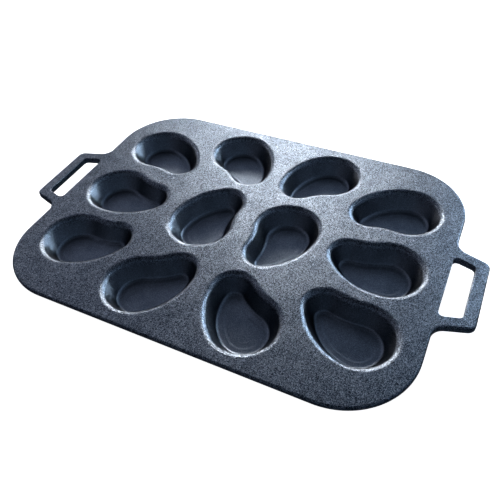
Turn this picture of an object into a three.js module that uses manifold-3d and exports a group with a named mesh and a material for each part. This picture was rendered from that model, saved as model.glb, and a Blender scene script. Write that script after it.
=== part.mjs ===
// Cast iron grill pan for oysters on the half shell, in millimetres, +Z up.
// The pan is one sand casting. It is divided here into the features that a foundry drawing
// names: the deck, its drop wells and the two loop handles, each a closed solid of its own.
// The deck is a grid of narrow webs, so it is cut along them into six plates of two wells each.
// The origin is on the surface that the pan stands on, under the middle of the deck.
// +X runs towards one handle and +Y towards the far long side.

import * as THREE from 'three';
import { mergeVertices } from 'three/addons/utils/BufferGeometryUtils.js';
import Module from 'manifold-3d';

// Deck
const DECK_LENGTH = 396;
const DECK_WIDTH = 305;
const DECK_CORNER_RADIUS = 67;
const DECK_THICKNESS = 5;
const DECK_EDGE_RADIUS = 1.8;

// Outline of a well at the deck: two round lobes, joined by a full back and a slightly hollow belly
const BIG_LOBE_RADIUS = 35.6;
const SMALL_LOBE_RADIUS = 23;
const LOBE_SPACING = 38;
const BACK_RADIUS = 67.6;
const BELLY_RADIUS = 54.8;

// Section of a well, from its lip down to its floor. The ledge takes a share of the floor's half
// width in the small lobe, and the recess takes the rest.
const LIP_RADIUS = 7;
const WALL_DRAFT = THREE.MathUtils.degToRad(28.8);
const WELL_DEPTH = 18.2;
const FLOOR_FILLET = 1.6;
const LEDGE_SHARE = 0.6;
const RECESS_DEPTH = 0.5;
const RECESS_DRAFT = 1.6;
const FLOOR_THICKNESS = 4.7;
const WALL_THICKNESS = 4.2;
const HEEL_RADIUS = 4;
const FLANGE_WIDTH = 0.8;
const SEAM_GAP = 0.3;

// Places of the wells. Each is the middle of a well's big lobe, for the right half of the pan,
// and the turn of the line from its small lobe to its big one.
const CORNER_WELL = {
  fromEnd: 53,
  fromSide: 71.7,
  turn: THREE.MathUtils.degToRad(24.4),
};
const ROW_WELL = {
  fromMiddle: 53.2,
  fromSide: 45.5,
  turn: THREE.MathUtils.degToRad(50.5),
};
const END_WELL = {
  fromEnd: 50,
  offCentre: -1.9,
  turn: THREE.MathUtils.degToRad(-5.1),
};
const CENTRE_WELL = {
  fromMiddle: 41.8,
  offCentre: 12.3,
  turn: THREE.MathUtils.degToRad(76.7),
};
const CENTRE_PAIR_SHIFT = 1.6;

// Loop handles at the two ends
const HANDLE_REACH = 31.5;
const HANDLE_THICKNESS = 7;
const HANDLE_EDGE_RADIUS = 1.5;
const BAR_WIDTH = 11.5;
const BAR_LENGTH = 78;
const ARM_SPREAD = 19;
const SLOT_LENGTH_AT_BAR = 62;
const SLOT_LENGTH_AT_DECK = 73;
const SLOT_CORNER_RADIUS = 4.5;
const BAR_CORNER_RADIUS = 7;
const ROOT_FILLET = 12;

// Facets of the round shapes
const BIG_LOBE_FACETS = 12;
const SMALL_LOBE_FACETS = 8;
const BACK_FACETS = 5;
const BELLY_FACETS = 5;
const LIP_FACETS = 3;
const FILLET_FACETS = 1;
const HEEL_FACETS = 2;
const EDGE_FACETS = 2;
const CORNER_FACETS = 6;

// Colours as they look on seasoned cast iron
const DECK_COLOUR = 0x45494f;
const WELL_COLOUR = 0x2e3238;
const HANDLE_COLOUR = 0x42464c;

const DECK_TOP = WELL_DEPTH + RECESS_DEPTH + FLOOR_THICKNESS;
const HANDLE_ROOT_HALF = (BAR_LENGTH + ARM_SPREAD) / 2;

const wasm = await Module();
wasm.setup();

// Booleans: a closed geometry becomes a solid, and the cut solid a geometry again
function toSolid(geometry) {
  const bare = new THREE.BufferGeometry();
  bare.setAttribute('position', geometry.getAttribute('position').clone());
  if (geometry.index) bare.setIndex(geometry.index.clone());
  const merged = mergeVertices(bare, 1e-4);
  return new wasm.Manifold(new wasm.Mesh({
    numProp: 3,
    vertProperties: Float32Array.from(merged.getAttribute('position').array),
    triVerts: Uint32Array.from(merged.index.array),
  }));
}

function toGeometry(solid) {
  const mesh = solid.getMesh();
  const geometry = new THREE.BufferGeometry();
  geometry.setAttribute('position', new THREE.BufferAttribute(mesh.vertProperties, 3));
  geometry.setIndex(new THREE.BufferAttribute(mesh.triVerts, 1));
  geometry.computeVertexNormals();
  return geometry;
}

// A path through corner points, with an arc of its own radius at each corner
function roundedPath(corners, path) {
  corners.forEach(({ at, radius }, i) => {
    const before = corners[(i + corners.length - 1) % corners.length].at;
    const after = corners[(i + 1) % corners.length].at;
    const back = before.clone().sub(at).normalize();
    const ahead = after.clone().sub(at).normalize();
    const half = Math.acos(back.dot(ahead)) / 2;
    const reach = radius / Math.tan(half);
    const start = at.clone().addScaledVector(back, reach);
    const end = at.clone().addScaledVector(ahead, reach);
    const middle = back.clone().add(ahead).normalize();
    const centre = at.clone().addScaledVector(middle, radius / Math.sin(half));
    const clockwise = back.cross(ahead) > 0;
    if (i === 0) path.moveTo(start.x, start.y);
    else path.lineTo(start.x, start.y);
    const from = start.sub(centre).angle();
    const to = end.sub(centre).angle();
    path.absarc(centre.x, centre.y, radius, from, to, clockwise);
  });
  path.closePath();
  return path;
}

function corner(x, y, radius) {
  return { at: new THREE.Vector2(x, y), radius };
}

// A flat slab with rounded edges, its top at the top of the deck
function slab(shape, thickness, edgeRadius) {
  const geometry = new THREE.ExtrudeGeometry(shape, {
    depth: thickness - 2 * edgeRadius,
    curveSegments: CORNER_FACETS,
    bevelThickness: edgeRadius,
    bevelSize: edgeRadius,
    bevelOffset: -edgeRadius,
    bevelSegments: EDGE_FACETS,
  });
  return geometry.translate(0, 0, DECK_TOP - thickness + edgeRadius);
}

// Outline of a well. The big lobe's middle is at (0, 0) and the small lobe's at -X, and inset
// moves the whole outline inwards. On a left-handed well the belly is on the other side.
const bigMiddle = new THREE.Vector2(0, 0);
const smallMiddle = new THREE.Vector2(-LOBE_SPACING, 0);

function touchingBoth(fromBig, fromSmall) {
  const x = (fromSmall ** 2 - fromBig ** 2 - LOBE_SPACING ** 2) / (2 * LOBE_SPACING);
  return new THREE.Vector2(x, Math.sqrt(fromBig ** 2 - x ** 2));
}

const backMiddle = touchingBoth(BACK_RADIUS - BIG_LOBE_RADIUS, BACK_RADIUS - SMALL_LOBE_RADIUS);
const bellyMiddle = touchingBoth(BELLY_RADIUS + BIG_LOBE_RADIUS, BELLY_RADIUS + SMALL_LOBE_RADIUS);

function heading(from, to) {
  return to.clone().sub(from).angle();
}

function wellOutline(inset, leftHanded) {
  const backAtSmall = heading(backMiddle, smallMiddle);
  const backAtBig = heading(backMiddle, bigMiddle);
  const bellyAtBig = heading(bigMiddle, bellyMiddle);
  const bellyAtSmall = heading(smallMiddle, bellyMiddle);
  const arcs = [
    [smallMiddle, SMALL_LOBE_RADIUS - inset, bellyAtSmall, backAtSmall, false, SMALL_LOBE_FACETS],
    [backMiddle, BACK_RADIUS - inset, backAtSmall, backAtBig, false, BACK_FACETS],
    [bigMiddle, BIG_LOBE_RADIUS - inset, backAtBig, bellyAtBig, false, BIG_LOBE_FACETS],
    [bellyMiddle, BELLY_RADIUS + inset, bellyAtBig + Math.PI, bellyAtSmall + Math.PI, true, BELLY_FACETS],
  ];
  const points = arcs.flatMap(([middle, radius, from, to, clockwise, facets]) => {
    const arc = new THREE.EllipseCurve(middle.x, middle.y, radius, radius, from, to, clockwise);
    return arc.getPoints(facets).slice(0, -1);
  });
  if (!leftHanded) return points;
  return points.map((p) => new THREE.Vector2(p.x, -p.y)).reverse();
}

// Section of a well as pairs of inset and height, from the recess up the inside, over the lip
// and down the outside to the underside
function arcSection(centre, radius, from, to, facets) {
  const arc = new THREE.EllipseCurve(centre.x, centre.y, radius, radius, from, to, from > to);
  return arc.getPoints(facets);
}

function wellSection() {
  const lipCentre = new THREE.Vector2(0, DECK_TOP - LIP_RADIUS);
  const lipFoot = new THREE.Vector2(Math.cos(WALL_DRAFT), Math.sin(WALL_DRAFT));
  lipFoot.multiplyScalar(LIP_RADIUS).add(lipCentre);
  const wallInset = (height) => lipFoot.x + (lipFoot.y - height) * Math.tan(WALL_DRAFT);

  const ledgeHeight = DECK_TOP - WELL_DEPTH;
  const recessHeight = ledgeHeight - RECESS_DEPTH;
  const ledgeStart = wallInset(ledgeHeight);
  const filletReach = FLOOR_FILLET * Math.tan(Math.PI / 4 - WALL_DRAFT / 2);
  const filletCentre = new THREE.Vector2(ledgeStart + filletReach, ledgeHeight + FLOOR_FILLET);
  const recessInset = ledgeStart + LEDGE_SHARE * (SMALL_LOBE_RADIUS - ledgeStart);

  const outerInset = (height) => wallInset(height) - WALL_THICKNESS / Math.cos(WALL_DRAFT);
  const heelReach = HEEL_RADIUS * Math.tan(Math.PI / 4 - WALL_DRAFT / 2);
  const heelCentre = new THREE.Vector2(outerInset(0) + heelReach, HEEL_RADIUS);
  const underside = DECK_TOP - DECK_THICKNESS;
  const wallSide = Math.PI + WALL_DRAFT;

  return [
    new THREE.Vector2(recessInset + RECESS_DRAFT, recessHeight),
    new THREE.Vector2(recessInset, ledgeHeight),
    ...arcSection(filletCentre, FLOOR_FILLET, 1.5 * Math.PI, wallSide, FILLET_FACETS),
    ...arcSection(lipCentre, LIP_RADIUS, WALL_DRAFT, Math.PI / 2, LIP_FACETS),
    new THREE.Vector2(-FLANGE_WIDTH, DECK_TOP),
    new THREE.Vector2(-FLANGE_WIDTH, underside),
    new THREE.Vector2(outerInset(underside), underside),
    ...arcSection(heelCentre, HEEL_RADIUS, wallSide, 1.5 * Math.PI, HEEL_FACETS),
  ];
}

// A well's cup: its outline drawn at each step of the section, and joined ring by ring
function wellGeometry(leftHanded) {
  const rings = wellSection().map((step) => wellOutline(step.x, leftHanded).map(
    (p) => new THREE.Vector3(p.x, p.y, step.y),
  ));
  const count = rings[0].length;
  const last = (rings.length - 1) * count;
  const index = [];
  for (let ring = 0; ring + 1 < rings.length; ring += 1) {
    for (let i = 0; i < count; i += 1) {
      const here = ring * count + i;
      const next = ring * count + ((i + 1) % count);
      index.push(here, here + count, next);
      index.push(next, here + count, next + count);
    }
  }
  const flat = (ring) => ring.map((p) => new THREE.Vector2(p.x, p.y));
  for (const [a, b, c] of THREE.ShapeUtils.triangulateShape(flat(rings[0]), [])) {
    index.push(a, b, c);
  }
  for (const [a, b, c] of THREE.ShapeUtils.triangulateShape(flat(rings.at(-1)), [])) {
    index.push(last + a, last + c, last + b);
  }
  const geometry = new THREE.BufferGeometry().setFromPoints(rings.flat());
  geometry.setIndex(index);
  geometry.computeVertexNormals();
  return geometry;
}

// A straight block of any outline that goes right through the deck
function throughDeck(outline) {
  const geometry = new THREE.ExtrudeGeometry(new THREE.Shape(outline), {
    depth: 3 * DECK_THICKNESS,
    bevelEnabled: false,
  });
  return geometry.translate(0, 0, DECK_TOP - 2 * DECK_THICKNESS);
}

// The opening in the deck that a cup hangs in
function wellOpening(leftHanded) {
  return throughDeck(wellOutline(-FLANGE_WIDTH - SEAM_GAP, leftHanded));
}

// The places: the far right wells first, then their images in the other quarters
function place(name, x, y, turn, leftHanded) {
  return { name, x, y, turn, leftHanded };
}

function mirrorLeft(name, spot) {
  return place(name, -spot.x, spot.y, Math.PI - spot.turn, !spot.leftHanded);
}

function mirrorNear(name, spot) {
  return place(name, spot.x, -spot.y, -spot.turn, !spot.leftHanded);
}

function wellPlaces() {
  const cornerX = DECK_LENGTH / 2 - CORNER_WELL.fromEnd;
  const cornerY = DECK_WIDTH / 2 - CORNER_WELL.fromSide;
  const rowY = DECK_WIDTH / 2 - ROW_WELL.fromSide;
  const endX = DECK_LENGTH / 2 - END_WELL.fromEnd;
  const farOuter = place('well_far_right_outer', cornerX, cornerY, CORNER_WELL.turn, true);
  const farInner = place('well_far_right_inner', ROW_WELL.fromMiddle, rowY, ROW_WELL.turn, true);
  const nearOuter = mirrorNear('well_near_right_outer', farOuter);
  const nearInner = mirrorNear('well_near_right_inner', farInner);
  const end = place('well_middle_right_outer', endX, END_WELL.offCentre, END_WELL.turn, false);
  const { fromMiddle, offCentre, turn } = CENTRE_WELL;
  const shift = CENTRE_PAIR_SHIFT;
  return [
    mirrorLeft('well_far_left_outer', farOuter),
    mirrorLeft('well_far_left_inner', farInner),
    farInner,
    farOuter,
    mirrorLeft('well_middle_left_outer', end),
    place('well_middle_left_inner', shift - fromMiddle, -offCentre, turn + Math.PI, false),
    place('well_middle_right_inner', shift + fromMiddle, offCentre, turn, false),
    end,
    mirrorLeft('well_near_left_outer', nearOuter),
    mirrorLeft('well_near_left_inner', nearInner),
    nearInner,
    nearOuter,
  ];
}

// The two lobes of a well in its place
function lobesOf(spot) {
  const along = new THREE.Vector2(Math.cos(spot.turn), Math.sin(spot.turn));
  const at = new THREE.Vector2(spot.x, spot.y);
  return {
    big: { at, radius: BIG_LOBE_RADIUS },
    small: { at: at.clone().addScaledVector(along, -LOBE_SPACING), radius: SMALL_LOBE_RADIUS },
  };
}

// The point of the web between two lobes that is as far from the one as from the other, or one
// a step along the web from there, towards +X
function midway(a, b, step = 0) {
  const across = b.at.clone().sub(a.at);
  const share = 0.5 + (a.radius - b.radius) / (2 * across.length());
  const along = new THREE.Vector2(across.y, -across.x).normalize();
  const middle = a.at.clone().addScaledVector(across, share);
  return middle.addScaledVector(along, step * Math.sign(along.x));
}

// The line along the web between the middle row and the far or near one, from the pan's middle
// to the root of a handle's arm
function rowSeam(places, row, side) {
  const named = (name) => lobesOf(places.find((spot) => spot.name === name));
  const outwards = side === 'right' ? 1 : -1;
  const step = outwards * SMALL_LOBE_RADIUS;
  const rootY = row === 'far' ? HANDLE_ROOT_HALF : -HANDLE_ROOT_HALF;
  const inner = named(`well_${row}_${side}_inner`);
  const outer = named(`well_${row}_${side}_outer`);
  const centre = named(`well_middle_${side}_inner`);
  const end = named(`well_middle_${side}_outer`);
  const away = (lobe) => Math.abs(inner.small.at.y - lobe.at.y);
  const facing = away(centre.big) < away(centre.small) ? centre.big : centre.small;
  return [
    midway(inner.small, facing),
    midway(inner.small, facing, step),
    midway(outer.small, centre.big),
    midway(outer.small, end.small),
    midway(outer.big, end.big, -step),
    midway(outer.big, end.big),
    new THREE.Vector2(outwards * DECK_LENGTH / 2, rootY),
  ];
}

// The outlines of the three plates on one side of the pan's middle
function plateOutlines(places, side) {
  const outwards = side === 'right' ? 1 : -1;
  const middleX = (CENTRE_PAIR_SHIFT + outwards * SEAM_GAP) / 2;
  const endX = outwards * DECK_LENGTH;
  const edge = (points, lift) => {
    const ends = [
      new THREE.Vector2(middleX, points[0].y),
      ...points,
      new THREE.Vector2(endX, points.at(-1).y),
    ];
    return ends.map((p) => new THREE.Vector2(p.x, p.y + lift));
  };
  const beyond = (y) => [new THREE.Vector2(middleX, y), new THREE.Vector2(endX, y)];
  const far = rowSeam(places, 'far', side);
  const near = rowSeam(places, 'near', side);
  const half = SEAM_GAP / 2;
  return {
    far: [...edge(far, half), ...beyond(DECK_WIDTH).reverse()],
    middle: [...edge(near, half), ...edge(far, -half).reverse()],
    near: [...beyond(-DECK_WIDTH), ...edge(near, -half).reverse()],
  };
}

// Deck: a rounded slab with an opening for each cup
function deckSolid(places) {
  const x = DECK_LENGTH / 2;
  const y = DECK_WIDTH / 2;
  const radius = DECK_CORNER_RADIUS;
  const outline = [
    corner(-x, -y, radius),
    corner(x, -y, radius),
    corner(x, y, radius),
    corner(-x, y, radius),
  ];
  let deck = toSolid(slab(roundedPath(outline, new THREE.Shape()), DECK_THICKNESS, DECK_EDGE_RADIUS));
  for (const spot of places) {
    const opening = wellOpening(spot.leftHanded).rotateZ(spot.turn).translate(spot.x, spot.y, 0);
    deck = deck.subtract(toSolid(opening));
  }
  return deck;
}

// Handle: a flat loop whose two arms spread and flare into the deck's end, cut to meet it
function handleGeometry() {
  const end = DECK_LENGTH / 2;
  const tip = end + HANDLE_REACH;
  const inside = end - BAR_WIDTH;
  const barHalf = BAR_LENGTH / 2;
  const rootHalf = HANDLE_ROOT_HALF;
  const flareHalf = rootHalf + 2 * ROOT_FILLET;
  const outline = [
    corner(inside, -flareHalf, 0),
    corner(end, -flareHalf, 0),
    corner(end, -rootHalf, ROOT_FILLET),
    corner(tip, -barHalf, BAR_CORNER_RADIUS),
    corner(tip, barHalf, BAR_CORNER_RADIUS),
    corner(end, rootHalf, ROOT_FILLET),
    corner(end, flareHalf, 0),
    corner(inside, flareHalf, 0),
  ];
  const slot = [
    corner(end, -SLOT_LENGTH_AT_DECK / 2, SLOT_CORNER_RADIUS),
    corner(end, SLOT_LENGTH_AT_DECK / 2, SLOT_CORNER_RADIUS),
    corner(tip - BAR_WIDTH, SLOT_LENGTH_AT_BAR / 2, SLOT_CORNER_RADIUS),
    corner(tip - BAR_WIDTH, -SLOT_LENGTH_AT_BAR / 2, SLOT_CORNER_RADIUS),
  ];
  const shape = roundedPath(outline, new THREE.Shape());
  shape.holes.push(roundedPath(slot, new THREE.Path()));
  const loop = toSolid(slab(shape, HANDLE_THICKNESS, HANDLE_EDGE_RADIUS));
  const deckSide = new THREE.BoxGeometry(DECK_LENGTH + 2 * SEAM_GAP, 2 * DECK_WIDTH, 4 * DECK_TOP);
  return toGeometry(loop.subtract(toSolid(deckSide)));
}

function castIron(colour, roughness) {
  return new THREE.MeshStandardMaterial({ color: colour, roughness, metalness: 0.6 });
}

function addMesh(group, name, geometry, material) {
  const mesh = new THREE.Mesh(geometry, material);
  mesh.name = name;
  group.add(mesh);
  return mesh;
}

const pan = new THREE.Group();
pan.name = 'oyster_grill_pan';
const places = wellPlaces();
const deck = deckSolid(places);
for (const side of ['left', 'right']) {
  for (const [row, outline] of Object.entries(plateOutlines(places, side))) {
    const plate = deck.intersect(toSolid(throughDeck(outline)));
    addMesh(pan, `deck_${row}_${side}`, toGeometry(plate), castIron(DECK_COLOUR, 0.5));
  }
}
for (const spot of places) {
  const cup = addMesh(pan, spot.name, wellGeometry(spot.leftHanded), castIron(WELL_COLOUR, 0.4));
  cup.position.set(spot.x, spot.y, 0);
  cup.rotation.z = spot.turn;
}
const rightHandle = addMesh(pan, 'handle_right', handleGeometry(), castIron(HANDLE_COLOUR, 0.5));
const leftHandle = addMesh(pan, 'handle_left', rightHandle.geometry, castIron(HANDLE_COLOUR, 0.5));
leftHandle.rotation.z = Math.PI;

export default pan;
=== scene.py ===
# Seasoned cast iron grill pan for oysters on the half shell, with twelve drop wells.

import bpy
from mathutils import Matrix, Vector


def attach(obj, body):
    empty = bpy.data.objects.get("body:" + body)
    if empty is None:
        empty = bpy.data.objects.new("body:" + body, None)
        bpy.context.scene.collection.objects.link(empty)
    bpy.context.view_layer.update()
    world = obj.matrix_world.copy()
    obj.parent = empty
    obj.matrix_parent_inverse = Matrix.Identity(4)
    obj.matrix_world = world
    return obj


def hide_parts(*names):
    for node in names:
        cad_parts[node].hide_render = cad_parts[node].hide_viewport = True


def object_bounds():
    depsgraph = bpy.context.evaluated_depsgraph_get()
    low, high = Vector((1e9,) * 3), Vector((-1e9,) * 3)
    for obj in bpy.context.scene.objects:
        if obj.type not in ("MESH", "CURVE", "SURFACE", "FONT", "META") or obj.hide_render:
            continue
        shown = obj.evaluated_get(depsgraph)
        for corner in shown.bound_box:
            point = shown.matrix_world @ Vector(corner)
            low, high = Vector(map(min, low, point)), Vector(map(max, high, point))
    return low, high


bl_info = {
    "name": "Oyster grill pan",
    "version": (1, 0, 0),
    "blender": (4, 5, 0),
    "location": "3D View > Sidebar > Pan",
    "description": "Cast iron grill pan with twelve drop wells, on a white light table",
    "category": "Add Mesh",
}

from math import atan2, cos, pi, radians, sin, sqrt, tan

import bmesh
import bpy
from bpy.props import FloatProperty, FloatVectorProperty, PointerProperty
from mathutils import Matrix, Vector

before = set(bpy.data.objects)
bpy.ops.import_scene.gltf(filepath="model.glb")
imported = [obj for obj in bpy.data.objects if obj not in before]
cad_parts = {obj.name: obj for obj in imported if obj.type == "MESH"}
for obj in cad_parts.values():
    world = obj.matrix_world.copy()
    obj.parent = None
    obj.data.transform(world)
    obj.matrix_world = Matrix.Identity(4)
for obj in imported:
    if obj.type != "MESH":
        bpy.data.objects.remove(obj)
CAD_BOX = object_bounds()
DECK_TOP = CAD_BOX[1][2]


# Sizes and looks that a user would change, in metres

def linear(hex_colour):
    """Turn an sRGB hex colour into linear RGBA."""
    parts = [int(hex_colour[i:i + 2], 16) / 255 for i in (0, 2, 4)]
    curve = [c / 12.92 if c <= 0.04045 else ((c + 0.055) / 1.055) ** 2.4 for c in parts]
    return (*curve, 1.0)


def length(name, description, default):
    """A size that the sidebar shows in the scene's own unit."""
    return FloatProperty(name=name, description=description, default=default,
                         min=0.0, precision=5, unit="LENGTH")


def swatch(name, description, hex_colour):
    """A colour that the sidebar shows as a swatch."""
    return FloatVectorProperty(name=name, description=description, default=linear(hex_colour),
                               size=4, min=0.0, max=1.0, subtype="COLOR")


def watts(name, description, default):
    """The power of a light."""
    return FloatProperty(name=name, description=description, default=default, min=0.0, unit="POWER")


class PanDeckSizes(bpy.types.PropertyGroup):
    """Sizes of the deck and of the two loop handles."""
    deck_length: length("Deck length", "Length of the deck without its handles", 0.396)
    deck_width: length("Deck width", "Width of the deck", 0.305)
    corner_radius: length("Corner radius", "Radius of the deck's corners in plan", 0.067)
    thickness: length("Thickness", "Thickness of the deck", 0.005)
    rim_radius: length("Rim radius", "Rounding of the rim's edges", 0.0018)
    handle_reach: length("Handle reach", "How far a handle stands out from the deck", 0.0315)
    handle_thickness: length("Handle thickness", "Thickness of a handle", 0.007)
    bar_width: length("Bar width", "Width of a handle's bar", 0.0115)
    bar_length: length("Bar length", "Length of a handle's bar outside", 0.078)
    bar_corner: length("Bar corner", "Radius of the bar's outer corners", 0.007)
    arm_spread: length("Arm spread", "How much longer a handle is at its root than at its bar", 0.019)
    root_fillet: length("Root fillet", "Radius where an arm flares into the deck", 0.012)
    slot_at_bar: length("Slot at bar", "Length of a handle's gap along its bar", 0.062)
    slot_at_deck: length("Slot at deck", "Length of a handle's gap along the deck", 0.073)
    slot_corner: length("Slot corner", "Radius of the gap's corners", 0.0045)
    slot_edge: length("Slot edge", "Rounding of the gap's edges", 0.0009)
    ramp_start: length("Ramp start", "How far inside the deck's end a handle's ramp starts", 0.003)
    ramp_end: length("Ramp end", "How far outside the deck's end a handle's ramp ends", 0.001)
    handle_joint: length("Handle joint", "How far outside the deck's end a handle meets it", 0.0025)


class PanWellSizes(bpy.types.PropertyGroup):
    """Sizes of a drop well."""
    big_lobe: length("Big lobe", "Radius of the big lobe at the lip", 0.0356)
    small_lobe: length("Small lobe", "Radius of the small lobe at the lip", 0.023)
    lobe_spacing: length("Lobe spacing", "Distance between the middles of the lobes", 0.038)
    back: length("Back", "Radius of the full side of the outline", 0.0676)
    belly: length("Belly", "Radius of the hollow side of the outline", 0.0548)
    lip_radius: length("Lip radius", "Rounding from the deck into the wall", 0.007)
    wall_draft: FloatProperty(name="Wall draft", description="Lean of the wall from upright",
                              default=radians(28.8), subtype="ANGLE", unit="ROTATION")
    depth: length("Depth", "Depth of the ledge under the deck", 0.0182)
    floor_fillet: length("Floor fillet", "Rounding from the wall into the ledge", 0.0042)
    ledge_share: FloatProperty(name="Ledge share", default=0.6, subtype="FACTOR", min=0.0, max=1.0,
                               description="Share of the small lobe's floor that the ledge takes")
    recess_depth: length("Recess depth", "Step from the ledge down to the recessed floor", 0.0002)
    recess_draft: length("Recess draft", "How far the step leans in", 0.003)
    wall_thickness: length("Wall thickness", "Thickness of the wall", 0.0042)
    heel_radius: length("Heel radius", "Rounding under the well", 0.004)
    flange: length("Flange", "Flat margin of the deck that belongs to the well", 0.0008)


class PanFinish(bpy.types.PropertyGroup):
    """Colours, gloss and grain of the seasoned iron."""
    iron: swatch("Seasoned iron", "Iron under its baked oil", "5b636c")
    burnt: swatch("Burnt oil", "Patches with a thicker coat of oil", "535b64")
    gloss: FloatProperty(name="Roughness", description="Roughness of the iron between its pits",
                         default=0.28, min=0.0, max=1.0, subtype="FACTOR")
    grain: length("Grain", "Size of the casting sand's grain as it is drawn", 0.00055)
    relief: length("Relief", "How far a pit's side rises over the width of one grain", 0.000141)


class PanStageLook(bpy.types.PropertyGroup):
    """Floor, lights and camera."""
    floor: swatch("Floor", "Colour of the light table", "ffffff")
    far_softbox: watts("Far softbox", "Power of the softbox behind the pan", 78.0)
    right_softbox: watts("Right softbox", "Power of the softbox at the right", 45.0)
    left_softbox: watts("Left softbox", "Power of the softbox at the left", 8.0)
    room: FloatProperty(name="Room", description="Strength of the room's light where it is palest",
                        default=0.85, min=0.0)
    lens: FloatProperty(name="Lens", description="Focal length of the camera", default=39.276,
                        min=1.0, subtype="DISTANCE_CAMERA")


# Seasoned iron

IRON_NAME = "seasoned_cast_iron_sand_cast"
SMOOTH = {"interpolation_type": "SMOOTHSTEP"}
# How blunt the bottom of a pit is
PIT_BLUNTNESS = 0.01
# Oil bakes on in soft patches about 18 mm across
PATCHES_PER_METRE = 55.0
THIN_OIL = 0.38
THICK_OIL = 0.66
# The spread of the patches' noise, and how much it changes the roughness either way
PATCH_LOW = 0.3
PATCH_HIGH = 0.7
GLOSS_SPREAD = 0.005
# Darkest and palest grains beside the iron's own colour. A power makes few of them pale
DECK_SPECKLE = (0.1, 3.35)
WELL_SPECKLE = (0.85, 1.75)
PALE_POWER = 2.0
# Depths under the deck's top between which the speckle of the deck turns into that of the wells
SPECKLE_FADE_START = 0.001
SPECKLE_FADE_END = 0.007
# Share of the relief that is left at a well's floor, where the coat of oil is thicker
FLOOR_RELIEF = 0.75
# Iron mirrors less at a low angle than an ideal metal does
LOW_ANGLE_TINT = "adadad"


def add_node(tree, kind, settings=None, inputs=None):
    """Add a node, set its settings, and set or link its inputs."""
    node = tree.nodes.new(kind)
    for name, value in (settings or {}).items():
        setattr(node, name, value)
    for name, value in (inputs or {}).items():
        if isinstance(value, bpy.types.NodeSocket):
            tree.links.new(value, node.inputs[name])
        else:
            node.inputs[name].default_value = value
    return node


def seasoned_cast_iron():
    """The one material of the pan, made once and shared by its pieces."""
    found = bpy.data.materials.get(IRON_NAME)
    if found:
        return found
    finish, wells = bpy.context.scene.pan_finish, bpy.context.scene.pan_wells
    # Grey iron cast in sand and baked with oil is blue-black, with a fine grain that sparkles
    material = bpy.data.materials.new(IRON_NAME)
    material.use_nodes = True
    tree = material.node_tree
    tree.nodes.clear()
    place = add_node(tree, "ShaderNodeTexCoord").outputs["Object"]
    height = add_node(tree, "ShaderNodeSeparateXYZ", {}, {"Vector": place}).outputs["Z"]

    # Sand grains of about 0.4 mm leave a blunt pit each. They are drawn coarser so that they show
    grain = add_node(tree, "ShaderNodeTexVoronoi", {"voronoi_dimensions": "3D"},
                     {"Vector": place, "Scale": 1 / finish.grain})
    square = add_node(tree, "ShaderNodeMath", {"operation": "MULTIPLY_ADD"},
                      {0: grain.outputs["Distance"], 1: grain.outputs["Distance"], 2: PIT_BLUNTNESS})
    pit = add_node(tree, "ShaderNodeMath", {"operation": "SQRT"}, {0: square.outputs["Value"]})

    patches = add_node(tree, "ShaderNodeTexNoise", {"noise_dimensions": "3D"},
                       {"Vector": place, "Scale": PATCHES_PER_METRE, "Detail": 1.0, "Roughness": 0.5})
    oil = add_node(tree, "ShaderNodeMapRange", SMOOTH,
                   {"Value": patches.outputs["Fac"], "From Min": THIN_OIL, "From Max": THICK_OIL})
    tone = add_node(tree, "ShaderNodeMix", {"data_type": "RGBA"},
                    {"Factor": oil.outputs["Result"], "A": finish.iron, "B": finish.burnt})

    # Oil gathers in the wells and bakes to an even coat there, so the deck is speckled most
    depth = {"Value": height, "From Min": DECK_TOP - SPECKLE_FADE_END,
             "From Max": DECK_TOP - SPECKLE_FADE_START}
    darkest = add_node(tree, "ShaderNodeMapRange", {},
                       {**depth, "To Min": WELL_SPECKLE[0], "To Max": DECK_SPECKLE[0]})
    palest = add_node(tree, "ShaderNodeMapRange", {},
                      {**depth, "To Min": WELL_SPECKLE[1], "To Max": DECK_SPECKLE[1]})
    pale = add_node(tree, "ShaderNodeMath", {"operation": "POWER"},
                    {0: grain.outputs["Color"], 1: PALE_POWER})
    speckle = add_node(tree, "ShaderNodeMapRange", {},
                       {"Value": pale.outputs["Value"], "To Min": darkest.outputs["Result"],
                        "To Max": palest.outputs["Result"]})
    colour = add_node(tree, "ShaderNodeVectorMath", {"operation": "SCALE"},
                      {0: tone.outputs["Result"], "Scale": speckle.outputs["Result"]})

    gloss = add_node(tree, "ShaderNodeMapRange", {},
                     {"Value": patches.outputs["Fac"], "From Min": PATCH_LOW, "From Max": PATCH_HIGH,
                      "To Min": finish.gloss - GLOSS_SPREAD, "To Max": finish.gloss + GLOSS_SPREAD})
    relief = add_node(tree, "ShaderNodeMapRange", {},
                      {"Value": height, "From Min": DECK_TOP - wells.depth - wells.recess_depth,
                       "From Max": DECK_TOP, "To Min": FLOOR_RELIEF * finish.relief,
                       "To Max": finish.relief})
    bump = add_node(tree, "ShaderNodeBump", {},
                    {"Distance": relief.outputs["Result"], "Height": pit.outputs["Value"]})
    shader = add_node(tree, "ShaderNodeBsdfPrincipled", {},
                      {"Base Color": colour.outputs["Vector"], "Metallic": 1.0,
                       "Roughness": gloss.outputs["Result"], "Specular Tint": linear(LOW_ANGLE_TINT),
                       "Normal": bump.outputs["Normal"]})
    add_node(tree, "ShaderNodeOutputMaterial", {}, {"Surface": shader.outputs["BSDF"]})
    return material


# Shared modelling

# Edges that turn by less than this are shaded smooth
SMOOTH_UNDER = radians(40)
# Points nearer than this are one point, and points this near to a level lie on it
ONE_POINT = 1e-6
ON_LEVEL = 1e-5
# Flat margin beside a rounded edge
MARGIN = 0.0004


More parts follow.
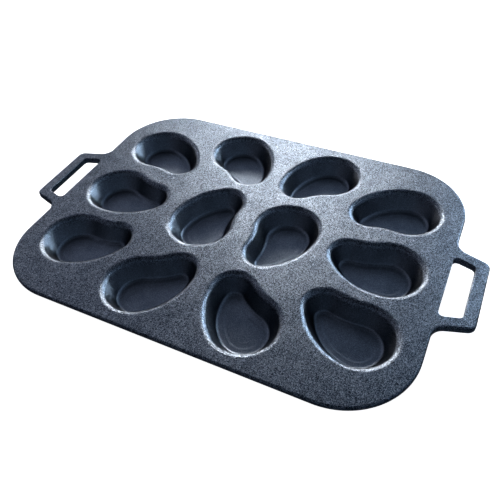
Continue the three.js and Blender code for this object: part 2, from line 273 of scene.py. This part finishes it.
def finish_piece(bm, name, *nodes):
    """Make the mesh an object at the origin that rides on the pan and stands for its CAD nodes."""
    loose = [e for e in bm.edges if not e.is_manifold]
    if loose:
        raise RuntimeError(f"{name} has {len(loose)} edges that don't join two faces")
    for face in bm.faces:
        face.smooth = True
    for edge in bm.edges:
        edge.smooth = edge.calc_face_angle() < SMOOTH_UNDER
    mesh = bpy.data.meshes.new(name)
    bm.to_mesh(mesh)
    bm.free()
    mesh.materials.append(seasoned_cast_iron())
    piece = bpy.data.objects.new(name, mesh)
    bpy.context.scene.collection.objects.link(piece)
    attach(piece, "root")
    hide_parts(*nodes)


def arc(centre, radius, start, end, steps):
    """Points of a section's arc, as inset and height."""
    turns = [start + (end - start) * i / steps for i in range(steps + 1)]
    return [(centre[0] + radius * cos(t), centre[1] + radius * sin(t)) for t in turns]


def face_up(face):
    """Turn a flat face so that it points up."""
    face.normal_update()
    if face.normal.z < 0:
        face.normal_flip()
    return face


def inset(bm, face, inwards, outwards):
    """Draw the face's outline in by one step, and push the face along its normal by another."""
    bmesh.ops.inset_region(bm, faces=[face], use_boundary=True, use_even_offset=True,
                           use_interpolate=False, thickness=inwards, depth=outwards)


def block(bm, face, height):
    """Pull a face down into a closed block, and give its upper and lower caps."""
    pulled = bmesh.ops.extrude_face_region(bm, geom=[face])["geom"]
    verts = [g for g in pulled if isinstance(g, bmesh.types.BMVert)]
    bmesh.ops.translate(bm, verts=verts, vec=(0, 0, -height))
    lower = next(g for g in pulled if isinstance(g, bmesh.types.BMFace))
    walls = {f for e in lower.edges for f in e.link_faces}
    bmesh.ops.recalc_face_normals(bm, faces=list({face, *walls}))
    return face, lower


# Wells

# Steps of each arc of a well's outline, and of each rounded stretch of its section
SMALL_LOBE_STEPS = 36
BACK_STEPS = 30
BIG_LOBE_STEPS = 66
BELLY_STEPS = 20
LIP_STEPS = 12
FILLET_STEPS = 5
RECESS_STEPS = 8
HEEL_STEPS = 6
# Flat ring under a well, inside its heel
UNDER_MARGIN = 0.001

# A well's place is the middle of its big lobe. Its turn is that of the way from small lobe to big
OUTER_FROM_END = 0.053
OUTER_FROM_SIDE = 0.0717
OUTER_TURN = radians(24.4)
INNER_FROM_MIDDLE = 0.0532
INNER_FROM_SIDE = 0.0455
INNER_TURN = radians(50.5)
END_FROM_END = 0.050
END_Y = -0.0019
END_TURN = radians(-5.1)
CENTRE_RIGHT_X = 0.0434
CENTRE_LEFT_X = -0.0402
CENTRE_Y = 0.0123
CENTRE_TURN = radians(76.7)


def touching(from_big, from_small, spacing):
    """The middle of an arc that touches both lobes, from its distances to their middles."""
    x = (from_small ** 2 - from_big ** 2 - spacing ** 2) / (2 * spacing)
    return Vector((x, sqrt(from_big ** 2 - x ** 2)))


def heading(start, end):
    """The angle in plan of the way from one point to another."""
    return atan2(end.y - start.y, end.x - start.x)


def well_outline(bm, sizes):
    """Sweep a vertex round the two lobes, the back and the belly, and fill the outline."""
    big, small = Vector((0, 0)), Vector((-sizes.lobe_spacing, 0))
    back = touching(sizes.back - sizes.big_lobe, sizes.back - sizes.small_lobe, sizes.lobe_spacing)
    belly = touching(sizes.belly + sizes.big_lobe, sizes.belly + sizes.small_lobe, sizes.lobe_spacing)
    belly_small, belly_big = heading(small, belly), heading(big, belly)
    back_small, back_big = heading(back, small), heading(back, big)
    full = 2 * pi
    sweeps = [
        (small, (back_small - belly_small) % full, SMALL_LOBE_STEPS),
        (back, (back_big - back_small) % full, BACK_STEPS),
        (big, (belly_big - back_big) % full, BIG_LOBE_STEPS),
        (belly, -((belly_big - belly_small) % full), BELLY_STEPS),
    ]
    reach = sizes.small_lobe + sizes.flange
    tip = bm.verts.new((small.x + reach * cos(belly_small), reach * sin(belly_small), DECK_TOP))
    for centre, turn, steps in sweeps:
        swept = bmesh.ops.spin(bm, geom=[tip], cent=(centre.x, centre.y, DECK_TOP), axis=(0, 0, 1),
                               angle=turn, steps=steps)
        tip = next(g for g in swept["geom_last"] if isinstance(g, bmesh.types.BMVert))
    bmesh.ops.remove_doubles(bm, verts=bm.verts[:], dist=ONE_POINT)
    return face_up(bmesh.ops.contextual_create(bm, geom=bm.edges[:])["faces"][0])


def well_section(sizes, thickness):
    """The inside and the outside of a well, as points of inset and height."""
    draft, lip = sizes.wall_draft, sizes.lip_radius
    foot = (lip * cos(draft), DECK_TOP - lip + lip * sin(draft))
    # How far in a fillet's middle lies from where wall and floor would meet, in radii
    lean = tan(pi / 4 - draft / 2)

    def wall(z):
        return foot[0] + (foot[1] - z) * tan(draft)

    def outer(z):
        return wall(z) - sizes.wall_thickness / cos(draft)

    ledge, fillet = DECK_TOP - sizes.depth, sizes.floor_fillet
    start = wall(ledge)
    step = start + sizes.ledge_share * (sizes.small_lobe - start)
    inside = arc((0, DECK_TOP - lip), lip, pi / 2, draft, LIP_STEPS)
    inside += arc((start + fillet * lean, ledge + fillet), fillet, pi + draft, 1.5 * pi, FILLET_STEPS)
    inside.append((step - MARGIN, ledge))
    for i in range(RECESS_STEPS + 1):
        share = i / RECESS_STEPS
        fall = (1 - cos(pi * share)) / 2
        inside.append((step + sizes.recess_draft * share, ledge - sizes.recess_depth * fall))

    bottom, heel = DECK_TOP - thickness, sizes.heel_radius
    outside = [(outer(bottom), bottom)]
    outside += arc((outer(0) + heel * lean, heel), heel, pi + draft, 1.5 * pi, HEEL_STEPS)
    outside.append((outside[-1][0] + UNDER_MARGIN, 0.0))
    return inside, outside


def draw_down(bm, face, spot, section):
    """Draw a cap along a section, one ring of faces for each point."""
    for point in section:
        up = 1 if face.normal.z > 0 else -1
        inset(bm, face, point[0] - spot[0], up * (point[1] - spot[1]))
        spot = point


def well_cup(sizes, thickness):
    """A well's cup in its own place: the big lobe's middle at the origin, the small one at -X."""
    bm = bmesh.new()
    upper, lower = block(bm, well_outline(bm, sizes), thickness)
    inside, outside = well_section(sizes, thickness)
    draw_down(bm, upper, (-sizes.flange, DECK_TOP), inside)
    draw_down(bm, lower, (-sizes.flange, DECK_TOP - thickness), outside)
    return bm


def well_places(deck):
    """Name, place, turn and hand of each well. The far right ones come first, then their images."""
    end_x, side_y = deck.deck_length / 2, deck.deck_width / 2
    quarter_wells = {
        "outer": (end_x - OUTER_FROM_END, side_y - OUTER_FROM_SIDE, OUTER_TURN),
        "inner": (INNER_FROM_MIDDLE, side_y - INNER_FROM_SIDE, INNER_TURN),
    }
    places = []
    for name, (x, y, turn) in quarter_wells.items():
        places += [
            (f"well_far_right_{name}", x, y, turn, True),
            (f"well_far_left_{name}", -x, y, pi - turn, False),
            (f"well_near_right_{name}", x, -y, -turn, False),
            (f"well_near_left_{name}", -x, -y, pi + turn, True),
        ]
    middle_x = end_x - END_FROM_END
    places += [
        ("well_middle_right_outer", middle_x, END_Y, END_TURN, False),
        ("well_middle_left_outer", -middle_x, END_Y, pi - END_TURN, True),
        ("well_middle_right_inner", CENTRE_RIGHT_X, CENTRE_Y, CENTRE_TURN, False),
        ("well_middle_left_inner", CENTRE_LEFT_X, -CENTRE_Y, CENTRE_TURN + pi, False),
    ]
    return places


def set_in_place(bm, place):
    """Turn a well or its opening from its own place to its place on the pan."""
    _, x, y, turn, left_handed = place
    if left_handed:
        bmesh.ops.scale(bm, vec=(1, -1, 1), verts=bm.verts[:])
        bmesh.ops.reverse_faces(bm, faces=bm.faces[:])
    bmesh.ops.rotate(bm, cent=(0, 0, 0), matrix=Matrix.Rotation(turn, 3, "Z"), verts=bm.verts[:])
    bmesh.ops.translate(bm, vec=(x, y, 0), verts=bm.verts[:])


class PAN_OT_add_wells(bpy.types.Operator):
    """Add the twelve drop wells, each a cup with a lip, a drafted wall, a ledge and a recess"""
    bl_idname = "pan.add_wells"
    bl_label = "Add Drop Wells"
    bl_options = {"REGISTER", "UNDO"}

    def execute(self, context):
        deck, wells = context.scene.pan_deck, context.scene.pan_wells
        cup = well_cup(wells, deck.thickness)
        for place in well_places(deck):
            copy = cup.copy()
            set_in_place(copy, place)
            finish_piece(copy, place[0].replace("well_", "drop_well_"), place[0])
        cup.free()
        return {"FINISHED"}


# Deck and handles

# Which way along X each handle stands out from the deck
HANDLES = {"right": 1, "left": -1}
# A rounded edge draws its cap in on a rim, and spreads it on a hole
RIM = 1
HOLE = -1
EDGE_STEPS = 5
# Corners in plan have a step about every 2 mm, and at least six
CORNER_STEP = 0.002
LEAST_CORNER_STEPS = 6


def whole(bm):
    """Everything in a bmesh, as its operators take it."""
    return bm.verts[:] + bm.edges[:] + bm.faces[:]


def mirrored(corners):
    """The same corners, and their images in the long middle line in the other order."""
    return corners + [(x, -y, radius) for x, y, radius in reversed(corners)]


def rounded(bm, corners, z):
    """A flat face through a few corners, each rounded by its own radius."""
    verts = [bm.verts.new((x, y, z)) for x, y, _ in corners]
    bm.faces.new(verts)
    for vert, (_, _, radius) in zip(verts, corners):
        a, b = (e.other_vert(vert).co - vert.co for e in vert.link_edges)
        steps = max(LEAST_CORNER_STEPS, round(radius / CORNER_STEP))
        bmesh.ops.bevel(bm, geom=[vert], offset=radius / tan(a.angle(b) / 2), offset_type="OFFSET",
                        affect="VERTICES", segments=steps, profile=0.5, material=-1)
    return face_up(next(f for f in bm.faces if len(f.verts) > len(corners) and all(
        len(e.link_faces) == 1 for e in f.edges)))


def soften(bm, caps, radius, way):
    """Round a block's edge at both caps, as a rim or as a hole, and leave a flat margin."""
    spots = arc((radius, 0), radius, pi, pi / 2, EDGE_STEPS)
    for cap in caps:
        for spot, after in zip(spots, spots[1:]):
            inset(bm, cap, way * (after[0] - spot[0]), after[1] - spot[1])
        inset(bm, cap, way * MARGIN, 0.0)


def rim_wall(deck):
    """The rim round the deck and its handles, open above and below."""
    end, side, bar = deck.deck_length / 2, deck.deck_width / 2, deck.bar_length / 2
    right = [
        (end, side, deck.corner_radius),
        (end, bar + deck.arm_spread / 2, deck.root_fillet),
        (end + deck.handle_reach, bar, deck.bar_corner),
    ]
    left = [(-x, y, radius) for x, y, radius in reversed(right)]
    bm = bmesh.new()
    face = rounded(bm, mirrored(left + right), DECK_TOP - deck.rim_radius)
    caps = block(bm, face, deck.thickness - 2 * deck.rim_radius)
    soften(bm, caps, deck.rim_radius, RIM)
    bmesh.ops.delete(bm, geom=list(caps), context="FACES_ONLY")
    return bm


def add_hole(bm, hole, caps):
    """Open a hole's block at both caps, and add its walls to the deck."""
    bmesh.ops.delete(hole, geom=list(caps), context="FACES_ONLY")
    mesh = bpy.data.meshes.new("hole")
    hole.to_mesh(mesh)
    hole.free()
    bm.from_mesh(mesh)
    bpy.data.meshes.remove(mesh)


def add_slots(bm, deck):
    """Add the gap of each handle."""
    end, edge = deck.deck_length / 2, deck.slot_edge
    bar_side = end + deck.handle_reach - deck.bar_width
    for way in HANDLES.values():
        slot = mirrored([
            (way * end, deck.slot_at_deck / 2, deck.slot_corner),
            (way * bar_side, deck.slot_at_bar / 2, deck.slot_corner),
        ])
        hole = bmesh.new()
        caps = block(hole, rounded(hole, slot, DECK_TOP - edge), deck.thickness - 2 * edge)
        soften(hole, caps, edge, HOLE)
        add_hole(bm, hole, caps)


def add_openings(bm, deck, wells):
    """Add the opening of each well."""
    for place in well_places(deck):
        hole = bmesh.new()
        caps = block(hole, well_outline(hole, wells), deck.thickness)
        set_in_place(hole, place)
        add_hole(bm, hole, caps)


def fill_faces(bm, deck):
    """Fill the upper and the lower face between the rim and the holes."""
    for level, up in ((DECK_TOP, 1), (DECK_TOP - deck.thickness, -1)):
        edges = [e for e in bm.edges if e.is_boundary
                 and all(abs(v.co.z - level) < ON_LEVEL for v in e.verts)]
        bmesh.ops.triangle_fill(bm, use_beauty=True, edges=edges, normal=(0, 0, up))


def thicken_handles(bm, deck):
    """Make the handles a little thicker than the deck, with a short ramp underneath."""
    end = deck.deck_length / 2
    for x in (end - deck.ramp_start, end + deck.ramp_end):
        for way in HANDLES.values():
            bmesh.ops.bisect_plane(bm, geom=whole(bm), dist=ONE_POINT,
                                   plane_co=(way * x, 0, 0), plane_no=(1, 0, 0))
    middle = DECK_TOP - deck.thickness / 2
    under = [v for v in bm.verts if abs(v.co.x) > end and v.co.z < middle]
    bmesh.ops.translate(bm, verts=under, vec=(0, 0, deck.thickness - deck.handle_thickness))
    bmesh.ops.recalc_face_normals(bm, faces=bm.faces[:])


def deck_with_handles(deck, wells):
    """The deck with its holes and both handles, as one closed mesh."""
    bm = rim_wall(deck)
    add_slots(bm, deck)
    add_openings(bm, deck, wells)
    fill_faces(bm, deck)
    thicken_handles(bm, deck)
    return bm


def cut_at_handle(bm, deck, handle, away):
    """Cut where a handle meets the deck, drop what lies that way, and close the section."""
    place = handle * (deck.deck_length / 2 + deck.handle_joint)
    bmesh.ops.bisect_plane(bm, geom=whole(bm), dist=ONE_POINT, plane_co=(place, 0, 0),
                           plane_no=(away, 0, 0), clear_outer=True)
    bmesh.ops.holes_fill(bm, edges=[e for e in bm.edges if e.is_boundary], sides=0)
    bmesh.ops.recalc_face_normals(bm, faces=bm.faces[:])


class PAN_OT_add_handles(bpy.types.Operator):
    """Add the two loop handles at the ends of the deck"""
    bl_idname = "pan.add_handles"
    bl_label = "Add Loop Handles"
    bl_options = {"REGISTER", "UNDO"}

    def execute(self, context):
        deck, wells = context.scene.pan_deck, context.scene.pan_wells
        uncut = deck_with_handles(deck, wells)
        for half, way in HANDLES.items():
            handle = uncut.copy()
            cut_at_handle(handle, deck, way, -way)
            finish_piece(handle, f"loop_handle_{half}", f"handle_{half}")
        uncut.free()
        return {"FINISHED"}


class PAN_OT_add_deck(bpy.types.Operator):
    """Add the flat deck with the openings of its wells"""
    bl_idname = "pan.add_deck"
    bl_label = "Add Deck"
    bl_options = {"REGISTER", "UNDO"}

    def execute(self, context):
        deck, wells = context.scene.pan_deck, context.scene.pan_wells
        bm = deck_with_handles(deck, wells)
        for way in HANDLES.values():
            cut_at_handle(bm, deck, way, way)
        rows, halves = ("far", "middle", "near"), ("left", "right")
        plates = [f"deck_{row}_{half}" for row in rows for half in halves]
        finish_piece(bm, "deck", *plates)
        return {"FINISHED"}


# Stage

# The light table lies just under the pan
TABLE_RADIUS = 4.0
TABLE_STEPS = 64
TABLE_GAP = 0.0002
TABLE_ROUGHNESS = 0.9

# Colour, place and size of each softbox
SOFTBOXES = {
    "far_softbox": ("fff7f1", (-0.86, 2.24, 0.70), (1.76, 0.864)),
    "right_softbox": ("dceeff", (0.73, 2.01, 0.45), (0.832, 1.184)),
    "left_softbox": ("fff4f2", (-2.05, 1.18, 0.42), (1.60, 0.80)),
}
# A softbox fades from its middle along and across, which alone would leave a quarter of its light
SOFTBOX_GAIN = 4.0

# The room's light by how high its direction points: it rises over the horizon and falls to the ceiling
RISE = (0.2, 0.48)
FALL = (0.55, 0.82)
CEILING_SHARE = 0.2
# It is dimmer in front of the pan than behind, and bluer at the right than at the left
FRONT_TO_BACK = (-0.2, 0.4)
FRONT_SHARE = 0.4
LEFT_TO_RIGHT = (-0.5, 0.1)
LEFT_TINT = "dde3ff"
RIGHT_TINT = "c5ddff"
# A dim bench lies under the horizon
BENCH = (-0.3, -0.05)
BENCH_GLOW = 0.12

# The camera stands at the near right, and its picture's right and up point these ways
CAMERA_PLACE = Vector((0.1929, -0.34722, 0.39043))
CAMERA_RIGHT = Vector((0.90134, 0.43072, -0.0455))
CAMERA_UP = Vector((-0.27888, 0.65754, 0.6999))
SENSOR_WIDTH = 36.0
NEAREST_SEEN = 0.01


class PAN_OT_add_stage(bpy.types.Operator):
    """Add the light table, the softboxes, the room's light and the camera"""
    bl_idname = "pan.add_stage"
    bl_label = "Add Stage"
    bl_options = {"REGISTER", "UNDO"}

    def execute(self, context):
        look = context.scene.pan_stage
        self.add_table(context, look)
        self.add_room(context, look)
        for name in SOFTBOXES:
            self.add_softbox(context, name, getattr(look, name))
        self.add_camera(context, look)
        context.scene.view_settings.view_transform = "Standard"
        return {"FINISHED"}

    def add_table(self, context, look):
        """A light table that only the camera sees, so that the pan's sides stay dark."""
        bm = bmesh.new()
        bmesh.ops.create_circle(bm, cap_ends=True, segments=TABLE_STEPS, radius=TABLE_RADIUS,
                                matrix=Matrix.Translation((0, 0, -TABLE_GAP)))
        mesh = bpy.data.meshes.new("light_table")
        bm.to_mesh(mesh)
        bm.free()
        table = bpy.data.objects.new("light_table", mesh)
        context.scene.collection.objects.link(table)
        # Opal acrylic lit from below, matt and even
        material = bpy.data.materials.new("opal_acrylic_light_table")
        material.use_nodes = True
        shader = material.node_tree.nodes["Principled BSDF"]
        shader.inputs["Base Color"].default_value = look.floor
        shader.inputs["Roughness"].default_value = TABLE_ROUGHNESS
        shader.inputs["Emission Color"].default_value = look.floor
        shader.inputs["Emission Strength"].default_value = 1.0
        mesh.materials.append(material)
        table.visible_diffuse = False
        table.visible_glossy = False

    def add_room(self, context, look):
        """A dim room, palest at mid height behind the pan. The camera sees plain white instead."""
        world = bpy.data.worlds.new("dark_studio")
        world.use_nodes = True
        tree = world.node_tree
        tree.nodes.clear()
        way = add_node(tree, "ShaderNodeTexCoord").outputs["Generated"]
        parts = add_node(tree, "ShaderNodeSeparateXYZ", {}, {"Vector": way}).outputs
        rise = add_node(tree, "ShaderNodeMapRange", SMOOTH,
                        {"Value": parts["Z"], "From Min": RISE[0], "From Max": RISE[1],
                         "To Max": look.room})
        fall = add_node(tree, "ShaderNodeMapRange", SMOOTH,
                        {"Value": parts["Z"], "From Min": FALL[0], "From Max": FALL[1],
                         "To Min": 1.0, "To Max": CEILING_SHARE})
        band = add_node(tree, "ShaderNodeMath", {"operation": "MULTIPLY"},
                        {0: rise.outputs["Result"], 1: fall.outputs["Result"]})
        behind = add_node(tree, "ShaderNodeMapRange", SMOOTH,
                          {"Value": parts["Y"], "From Min": FRONT_TO_BACK[0],
                           "From Max": FRONT_TO_BACK[1], "To Min": FRONT_SHARE})
        bench = add_node(tree, "ShaderNodeMapRange", {},
                         {"Value": parts["Z"], "From Min": BENCH[0], "From Max": BENCH[1],
                          "To Min": BENCH_GLOW, "To Max": 0.0})
        glow = add_node(tree, "ShaderNodeMath", {"operation": "MULTIPLY_ADD"},
                        {0: band.outputs["Value"], 1: behind.outputs["Result"],
                         2: bench.outputs["Result"]})
        side = add_node(tree, "ShaderNodeMapRange", {},
                        {"Value": parts["X"], "From Min": LEFT_TO_RIGHT[0],
                         "From Max": LEFT_TO_RIGHT[1]})
        tint = add_node(tree, "ShaderNodeMix", {"data_type": "RGBA"},
                        {"Factor": side.outputs["Result"], "A": linear(LEFT_TINT),
                         "B": linear(RIGHT_TINT)})
        room = add_node(tree, "ShaderNodeBackground", {},
                        {"Color": tint.outputs["Result"], "Strength": glow.outputs["Value"]})
        backdrop = add_node(tree, "ShaderNodeBackground", {}, {"Color": look.floor})
        seen = add_node(tree, "ShaderNodeLightPath").outputs["Is Camera Ray"]
        sky = add_node(tree, "ShaderNodeMixShader", {},
                       {0: seen, 1: room.outputs["Background"], 2: backdrop.outputs["Background"]})
        add_node(tree, "ShaderNodeOutputWorld", {}, {"Surface": sky.outputs["Shader"]})
        context.scene.world = world

    def add_softbox(self, context, name, power):
        """A softbox whose cloth is palest in the middle and fades towards its edges."""
        colour, place, size = SOFTBOXES[name]
        light = bpy.data.lights.new(name, "AREA")
        light.shape = "RECTANGLE"
        light.size, light.size_y = size
        light.energy = power
        light.color = linear(colour)[:3]
        light.use_nodes = True
        tree = light.node_tree
        spot = add_node(tree, "ShaderNodeNewGeometry").outputs["Parametric"]
        across = add_node(tree, "ShaderNodeSeparateXYZ", {}, {"Vector": spot}).outputs
        glow = SOFTBOX_GAIN
        for way in ("X", "Y"):
            for edge in (0.0, 1.0):
                fade = add_node(tree, "ShaderNodeMapRange", SMOOTH,
                                {"Value": across[way], "From Min": edge, "From Max": 0.5})
                glow = add_node(tree, "ShaderNodeMath", {"operation": "MULTIPLY"},
                                {0: glow, 1: fade.outputs["Result"]}).outputs["Value"]
        tree.links.new(glow, tree.nodes["Emission"].inputs["Strength"])
        softbox = bpy.data.objects.new(name, light)
        aim = Vector((0, 0, DECK_TOP)) - Vector(place)
        softbox.rotation_euler = aim.to_track_quat("-Z", "Y").to_euler()
        softbox.location = place
        context.scene.collection.objects.link(softbox)

    def add_camera(self, context, look):
        """A camera above the pan's near right corner."""
        camera = bpy.data.cameras.new("camera")
        camera.lens = look.lens
        camera.sensor_width = SENSOR_WIDTH
        camera.clip_start = NEAREST_SEEN
        viewer = bpy.data.objects.new("camera", camera)
        axes = (CAMERA_RIGHT, CAMERA_UP, CAMERA_RIGHT.cross(CAMERA_UP))
        turn = Matrix(axes).transposed()
        viewer.matrix_world = Matrix.Translation(CAMERA_PLACE) @ turn.to_4x4()
        context.scene.collection.objects.link(viewer)
        context.scene.camera = viewer


# Sidebar and registration

class PAN_PT_sidebar(bpy.types.Panel):
    """Lists the pan's pieces with their sizes, and the finish and the stage"""
    bl_idname = "PAN_PT_sidebar"
    bl_label = "Oyster Grill Pan"
    bl_space_type = "VIEW_3D"
    bl_region_type = "UI"
    bl_category = "Pan"

    def draw(self, context):
        scene = context.scene
        boxes = (
            ((PAN_OT_add_handles, PAN_OT_add_deck), scene.pan_deck),
            ((PAN_OT_add_wells,), scene.pan_wells),
            ((), scene.pan_finish),
            ((PAN_OT_add_stage,), scene.pan_stage),
        )
        for operators, settings in boxes:
            box = self.layout.box()
            for operator in operators:
                box.operator(operator.bl_idname)
            for name in settings.bl_rna.properties.keys():
                if name not in {"rna_type", "name"}:
                    box.prop(settings, name)


CLASSES = (
    PanDeckSizes,
    PanWellSizes,
    PanFinish,
    PanStageLook,
    PAN_OT_add_handles,
    PAN_OT_add_deck,
    PAN_OT_add_wells,
    PAN_OT_add_stage,
    PAN_PT_sidebar,
)
GROUPS = {
    "pan_deck": PanDeckSizes,
    "pan_wells": PanWellSizes,
    "pan_finish": PanFinish,
    "pan_stage": PanStageLook,
}


def register():
    for cls in CLASSES:
        bpy.utils.register_class(cls)
    for name, group in GROUPS.items():
        setattr(bpy.types.Scene, name, PointerProperty(type=group))


def unregister():
    for name in GROUPS:
        delattr(bpy.types.Scene, name)
    for cls in reversed(CLASSES):
        bpy.utils.unregister_class(cls)


def main():
    register()
    bpy.ops.pan.add_handles()
    bpy.ops.pan.add_deck()
    bpy.ops.pan.add_wells()
    bpy.ops.pan.add_stage()


if __name__ == "__main__":
    main()
